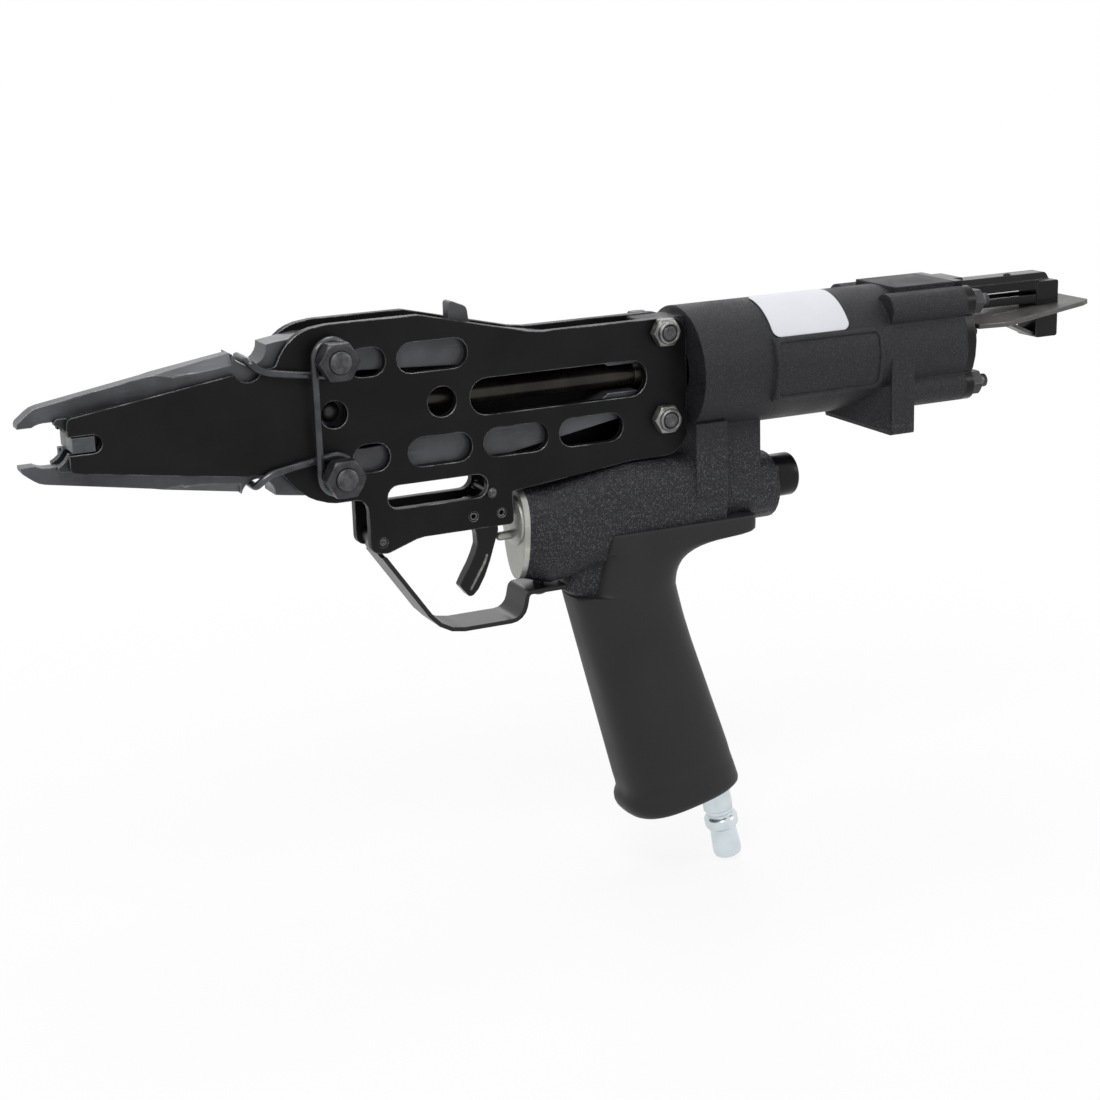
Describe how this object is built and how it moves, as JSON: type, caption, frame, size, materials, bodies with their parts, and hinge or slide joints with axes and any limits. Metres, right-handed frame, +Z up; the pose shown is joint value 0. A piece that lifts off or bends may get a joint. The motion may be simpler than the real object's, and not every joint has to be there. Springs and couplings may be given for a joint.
{
  "type": "pneumatic hog ring tool",
  "caption": "Pistol-grip air tool whose two long jaws, worked by a piston and spreader cone, close wire rings; with magazine rail and loading gate at the rear.",
  "frame": {"origin": "middle of the end cap's rear face, on the piston's axis", "axes": "+X to the rear along the piston's axis, away from the jaws; +Z up, away from the grip; -Y towards the side with the jaw spring and the label"},
  "size_m": [0.4365, 0.049, 0.2393],
  "materials": {
    "plate_steel": "near-black oxide, satin",
    "cheek_steel": "dark teal-grey satin steel",
    "jaw_steel": "gunmetal, satin",
    "bright_steel": "bright steel",
    "nut_steel": "dark blackened steel",
    "bolt_steel": "grey steel, satin",
    "lock_nut_zinc": "zinc plated, worn",
    "spring_steel": "oiled spring steel",
    "casting_black": "speckled black powder coat",
    "aluminium": "turned",
    "seal_black": "matte",
    "bar_steel": "brownish black, glossy",
    "gloss_black": "gloss black",
    "gate_steel": "warm grey satin steel",
    "cap_silver": "satin silver",
    "grip_rubber": "smooth matte black rubber",
    "plug_nickel": "nickel plated",
    "label_white": "white label film, bare"
  },
  "bodies": {
    "frame": {"side_plate_near": "plate_steel", "side_plate_far": "plate_steel", "guide_cheek_near": "cheek_steel", "guide_cheek_far": "cheek_steel", "pivot_bolt_upper": "bolt_steel", "pivot_nut_upper": "nut_steel", "spring_bush_upper": "nut_steel", "rear_bolt_upper": "bolt_steel", "lock_nut_upper": "lock_nut_zinc", "pivot_bolt_lower": "bolt_steel", "pivot_nut_lower": "nut_steel", "spring_bush_lower": "nut_steel", "rear_bolt_lower": "bolt_steel", "lock_nut_lower": "lock_nut_zinc", "jaw_spring": "spring_steel", "casting": "casting_black", "rod_bush": "aluminium", "stop_sleeve": "aluminium", "return_spring": "spring_steel", "end_gasket": "seal_black", "end_cap": "gloss_black", "cap_screw_near_upper": "nut_steel", "cap_screw_near_lower": "nut_steel", "cap_screw_far_upper": "nut_steel", "cap_screw_far_lower": "nut_steel", "magazine_rail": "gloss_black", "gate_pin": "bolt_steel", "trigger_pin": "bolt_steel", "plate_pin": "bolt_steel", "plate_screw": "nut_steel", "guard_strap": "gloss_black", "guard_front_screw": "nut_steel", "guard_rear_screw": "nut_steel", "valve_cap": "cap_silver", "valve_spring": "spring_steel", "exhaust_knob": "gloss_black", "grip_sleeve": "grip_rubber", "air_plug": "plug_nickel", "label": "label_white"},
    "upper_jaw": {"upper_jaw": "jaw_steel"},
    "lower_jaw": {"lower_jaw": "jaw_steel"},
    "piston": {"piston": "aluminium", "piston_seal": "seal_black", "piston_rod": "bar_steel", "piston_nut": "bolt_steel", "spreader": "bar_steel"},
    "pusher": {"ring_pusher": "bright_steel", "pusher_rivet": "nut_steel"},
    "trigger": {"trigger": "gloss_black"},
    "valve_stem": {"valve_stem": "bright_steel"},
    "gate": {"gate_plate": "gate_steel", "gate_block": "gloss_black", "gate_brace": "gate_steel"},
    "follower": {"ring_follower": "spring_steel"}
  },
  "joints": [
    {"name": "piston_slide", "type": "slide", "parent": "frame", "child": "piston", "axis": [-1, 0, 0], "range_m": [0, 0.024], "stiffness_N_per_m": 1000, "springref_m": -0.02, "deforming": ["return_spring"]},
    {"name": "upper_jaw_hinge", "type": "hinge", "parent": "frame", "child": "upper_jaw", "pos_m": [-0.2685, 0, 0.0206], "axis": [0, -1, 0], "range_deg": [0, 2.6], "deforming": ["jaw_spring"]},
    {"name": "lower_jaw_hinge", "type": "hinge", "parent": "frame", "child": "lower_jaw", "pos_m": [-0.2685, 0, -0.0206], "axis": [0, 1, 0], "range_deg": [0, 2.6]},
    {"name": "pusher_slide", "type": "slide", "parent": "frame", "child": "pusher", "axis": [-1, 0, 0], "range_m": [0, 0.006]},
    {"name": "trigger_hinge", "type": "hinge", "parent": "frame", "child": "trigger", "pos_m": [-0.216, 0, -0.044], "axis": [0, -1, 0], "range_deg": [0, 12], "stiffness_Nm_per_rad": 0.5, "springref_deg": -17.19},
    {"name": "valve_stem_slide", "type": "slide", "parent": "frame", "child": "valve_stem", "axis": [1, 0, 0], "range_m": [0, 0.0015], "deforming": ["valve_spring"]},
    {"name": "gate_hinge", "type": "hinge", "parent": "frame", "child": "gate", "pos_m": [0.0031, 0, 0.0025], "axis": [0, 1, 0], "range_deg": [0, 13], "stiffness_Nm_per_rad": 0.5, "springref_deg": -17.19},
    {"name": "follower_slide", "type": "slide", "parent": "frame", "child": "follower", "axis": [1, 0, 0], "range_m": [0, 0.028], "stiffness_N_per_m": 40, "springref_m": -0.02}
  ],
  "couplings": [
    {"joint": "upper_jaw_hinge", "follows": "piston_slide", "rad_per_m": 1.89},
    {"joint": "lower_jaw_hinge", "follows": "piston_slide", "rad_per_m": 1.89},
    {"joint": "pusher_slide", "follows": "piston_slide", "ratio": 0.25},
    {"joint": "valve_stem_slide", "follows": "trigger_hinge", "m_per_rad": 0.00716}
  ]
}
